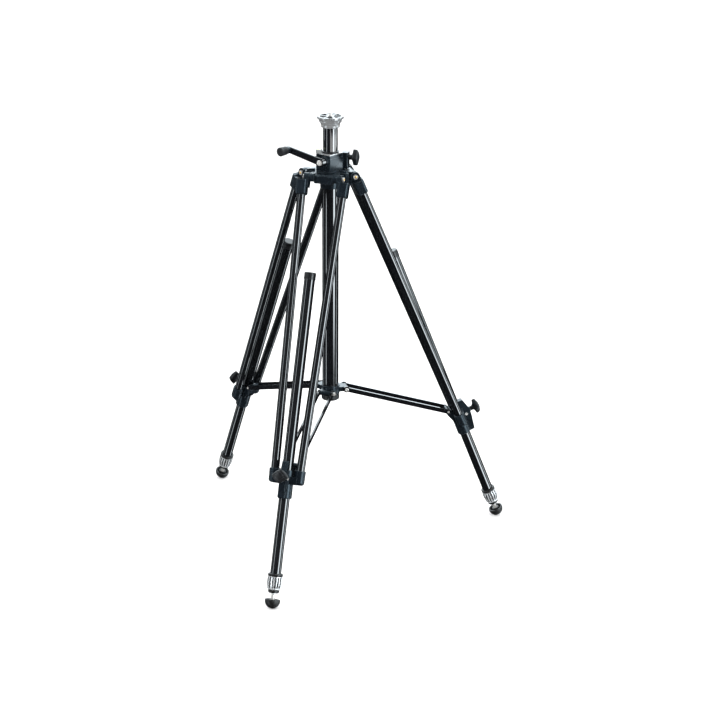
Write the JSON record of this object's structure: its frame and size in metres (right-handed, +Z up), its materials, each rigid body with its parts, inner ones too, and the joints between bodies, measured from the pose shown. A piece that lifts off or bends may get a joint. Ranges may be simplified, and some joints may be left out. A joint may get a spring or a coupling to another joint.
{
  "type": "studio tripod",
  "caption": "Black studio tripod with a cranked centre column, silver head plate, twin-tube legs, a sliding spreader and half-ball rubber feet.",
  "frame": {"origin": "floor level, at the middle of the footprint box; the column axis stands 109.49 mm behind it on +Y", "axes": "+Z up along the column; the front leg runs towards -Y"},
  "size_m": [0.7946, 0.693, 1.081],
  "materials": {
    "black_tube": "gloss",
    "black_casting": "satin",
    "silver_alloy": "machined",
    "steel": "bright",
    "black_plastic": "satin",
    "black_rubber": "matte",
    "level_vial": "clear"
  },
  "bodies": {
    "stand": {"spider": "black_casting", "hinge_bolts": "steel", "sleeve_tube": "black_tube", "sleeve_cap": "black_plastic", "gear_housing": "black_casting", "housing_cover": "silver_alloy", "column_bush": "black_plastic", "bubble_level": "level_vial"},
    "column": {"column_tube": "black_tube", "column_rack": "steel", "top_plate": "silver_alloy", "camera_stud": "steel", "plate_screws": "steel"},
    "column_lock": {"column_lock_knob": "black_plastic"},
    "crank": {"crank_shaft": "steel", "crank_arm": "black_casting"},
    "grip": {"crank_grip": "black_plastic"},
    "hub": {"spreader_hub": "black_casting", "hub_pins": "steel"},
    "front_leg": {"front_upper_tubes": "black_tube", "front_hinge_sockets": "black_casting", "front_lock_casting": "black_casting"},
    "front_lock": {"front_lock_knob": "black_plastic"},
    "front_arm": {"front_spreader_arm": "black_tube", "front_arm_studs": "steel"},
    "front_middle": {"front_middle_tube": "black_tube", "front_tube_cap": "black_plastic"},
    "front_collar": {"front_twist_collar": "silver_alloy", "front_collar_rings": "black_rubber"},
    "front_lower": {"front_lower_tube": "black_tube", "front_foot_spindle": "steel"},
    "front_foot": {"front_foot_ball": "black_rubber"},
    "right_leg": {"right_upper_tubes": "black_tube", "right_hinge_sockets": "black_casting", "right_lock_casting": "black_casting"},
    "right_lock": {"right_lock_knob": "black_plastic"},
    "right_arm": {"right_spreader_arm": "black_tube", "right_arm_studs": "steel"},
    "right_middle": {"right_middle_tube": "black_tube", "right_tube_cap": "black_plastic"},
    "right_collar": {"right_twist_collar": "silver_alloy", "right_collar_rings": "black_rubber"},
    "right_lower": {"right_lower_tube": "black_tube", "right_foot_spindle": "steel"},
    "right_foot": {"right_foot_ball": "black_rubber"},
    "left_leg": {"left_upper_tubes": "black_tube", "left_hinge_sockets": "black_casting", "left_lock_casting": "black_casting"},
    "left_lock": {"left_lock_knob": "black_plastic"},
    "left_arm": {"left_spreader_arm": "black_tube", "left_arm_studs": "steel"},
    "left_middle": {"left_middle_tube": "black_tube", "left_tube_cap": "black_plastic"},
    "left_collar": {"left_twist_collar": "silver_alloy", "left_collar_rings": "black_rubber"},
    "left_lower": {"left_lower_tube": "black_tube", "left_foot_spindle": "steel"},
    "left_foot": {"left_foot_ball": "black_rubber"}
  },
  "joints": [
    {"name": "column_lift", "type": "slide", "parent": "stand", "child": "column", "axis": [0, 0, 1], "range_m": [-0.05, 0.5]},
    {"name": "column_lock_turn", "type": "hinge", "parent": "stand", "child": "column_lock", "pos_m": [0.05, 0.13149, 0.971], "axis": [1, 0, 0], "range_deg": [0, 270]},
    {"name": "crank_turn", "type": "hinge", "parent": "stand", "child": "crank", "pos_m": [-0.00942, 0.07016, 0.9685], "axis": [-0.3746, -0.9272, 0], "range_deg": [-135, 15]},
    {"name": "grip_spin", "type": "hinge", "parent": "crank", "child": "grip", "pos_m": [-0.10946, 0.089, 0.98395], "axis": [-0.3746, -0.9272, 0], "continuous": true},
    {"name": "hub_slide", "type": "slide", "parent": "stand", "child": "hub", "axis": [0, 0, 1], "range_m": [0, 0.1465]},
    {"name": "front_leg_fold", "type": "hinge", "parent": "stand", "child": "front_leg", "pos_m": [0, 0.05899, 0.934], "axis": [1, 0, 0], "range_deg": [0, 22.5]},
    {"name": "front_lock_turn", "type": "hinge", "parent": "front_leg", "child": "front_lock", "pos_m": [0, -0.26041, 0.30613], "axis": [0, -0.9184, 0.3955], "range_deg": [0, 180]},
    {"name": "front_arm_swing", "type": "hinge", "parent": "hub", "child": "front_arm", "pos_m": [0, 0.07249, 0.3875], "axis": [1, 0, 0], "range_deg": [0, 72.1]},
    {"name": "front_middle_slide", "type": "slide", "parent": "front_leg", "child": "front_middle", "axis": [0, -0.3722, -0.9282], "range_m": [-0.165, 0.415]},
    {"name": "front_collar_turn", "type": "hinge", "parent": "front_middle", "child": "front_collar", "pos_m": [0, -0.31185, 0.05944], "axis": [0, -0.3722, -0.9282], "range_deg": [0, 120]},
    {"name": "front_lower_slide", "type": "slide", "parent": "front_middle", "child": "front_lower", "axis": [0, -0.3722, -0.9282], "range_m": [0, 0.5]},
    {"name": "front_foot_screw", "type": "slide", "parent": "front_lower", "child": "front_foot", "axis": [0, 0.3722, 0.9282], "range_m": [0, 0.012]},
    {"name": "right_leg_fold", "type": "hinge", "parent": "stand", "child": "right_leg", "pos_m": [0.04373, 0.13474, 0.934], "axis": [-0.5, 0.866, 0], "range_deg": [0, 22.5]},
    {"name": "right_lock_turn", "type": "hinge", "parent": "right_leg", "child": "right_lock", "pos_m": [0.32034, 0.29444, 0.30613], "axis": [0.7954, 0.4592, 0.3955], "range_deg": [0, 180]},
    {"name": "right_arm_swing", "type": "hinge", "parent": "hub", "child": "right_arm", "pos_m": [0.03204, 0.12799, 0.3875], "axis": [-0.5, 0.866, 0], "range_deg": [0, 72.1]},
    {"name": "right_middle_slide", "type": "slide", "parent": "right_leg", "child": "right_middle", "axis": [0.3223, 0.1861, -0.9282], "range_m": [-0.165, 0.415]},
    {"name": "right_collar_turn", "type": "hinge", "parent": "right_middle", "child": "right_collar", "pos_m": [0.3649, 0.32016, 0.05944], "axis": [0.3223, 0.1861, -0.9282], "range_deg": [0, 120]},
    {"name": "right_lower_slide", "type": "slide", "parent": "right_middle", "child": "right_lower", "axis": [0.3223, 0.1861, -0.9282], "range_m": [0, 0.5]},
    {"name": "right_foot_screw", "type": "slide", "parent": "right_lower", "child": "right_foot", "axis": [-0.3223, -0.1861, 0.9282], "range_m": [0, 0.012]},
    {"name": "left_leg_fold", "type": "hinge", "parent": "stand", "child": "left_leg", "pos_m": [-0.04373, 0.13474, 0.934], "axis": [-0.5, -0.866, 0], "range_deg": [0, 22.5]},
    {"name": "left_lock_turn", "type": "hinge", "parent": "left_leg", "child": "left_lock", "pos_m": [-0.32034, 0.29444, 0.30613], "axis": [-0.7954, 0.4592, 0.3955], "range_deg": [0, 180]},
    {"name": "left_arm_swing", "type": "hinge", "parent": "hub", "child": "left_arm", "pos_m": [-0.03204, 0.12799, 0.3875], "axis": [-0.5, -0.866, 0], "range_deg": [0, 72.1]},
    {"name": "left_middle_slide", "type": "slide", "parent": "left_leg", "child": "left_middle", "axis": [-0.3223, 0.1861, -0.9282], "range_m": [-0.165, 0.415]},
    {"name": "left_collar_turn", "type": "hinge", "parent": "left_middle", "child": "left_collar", "pos_m": [-0.3649, 0.32016, 0.05944], "axis": [-0.3223, 0.1861, -0.9282], "range_deg": [0, 120]},
    {"name": "left_lower_slide", "type": "slide", "parent": "left_middle", "child": "left_lower", "axis": [-0.3223, 0.1861, -0.9282], "range_m": [0, 0.5]},
    {"name": "left_foot_screw", "type": "slide", "parent": "left_lower", "child": "left_foot", "axis": [0.3223, -0.1861, 0.9282], "range_m": [0, 0.012]}
  ],
  "couplings": [
    {"joint": "crank_turn", "follows": "column_lift", "rad_per_m": -4.7},
    {"joint": "hub_slide", "follows": "front_leg_fold", "m_per_rad": 0.37118},
    {"joint": "front_arm_swing", "follows": "front_leg_fold", "ratio": 3.1977},
    {"joint": "right_leg_fold", "follows": "front_leg_fold", "ratio": 1},
    {"joint": "right_arm_swing", "follows": "front_leg_fold", "ratio": 3.1977},
    {"joint": "left_leg_fold", "follows": "front_leg_fold", "ratio": 1},
    {"joint": "left_arm_swing", "follows": "front_leg_fold", "ratio": 3.1977}
  ]
}
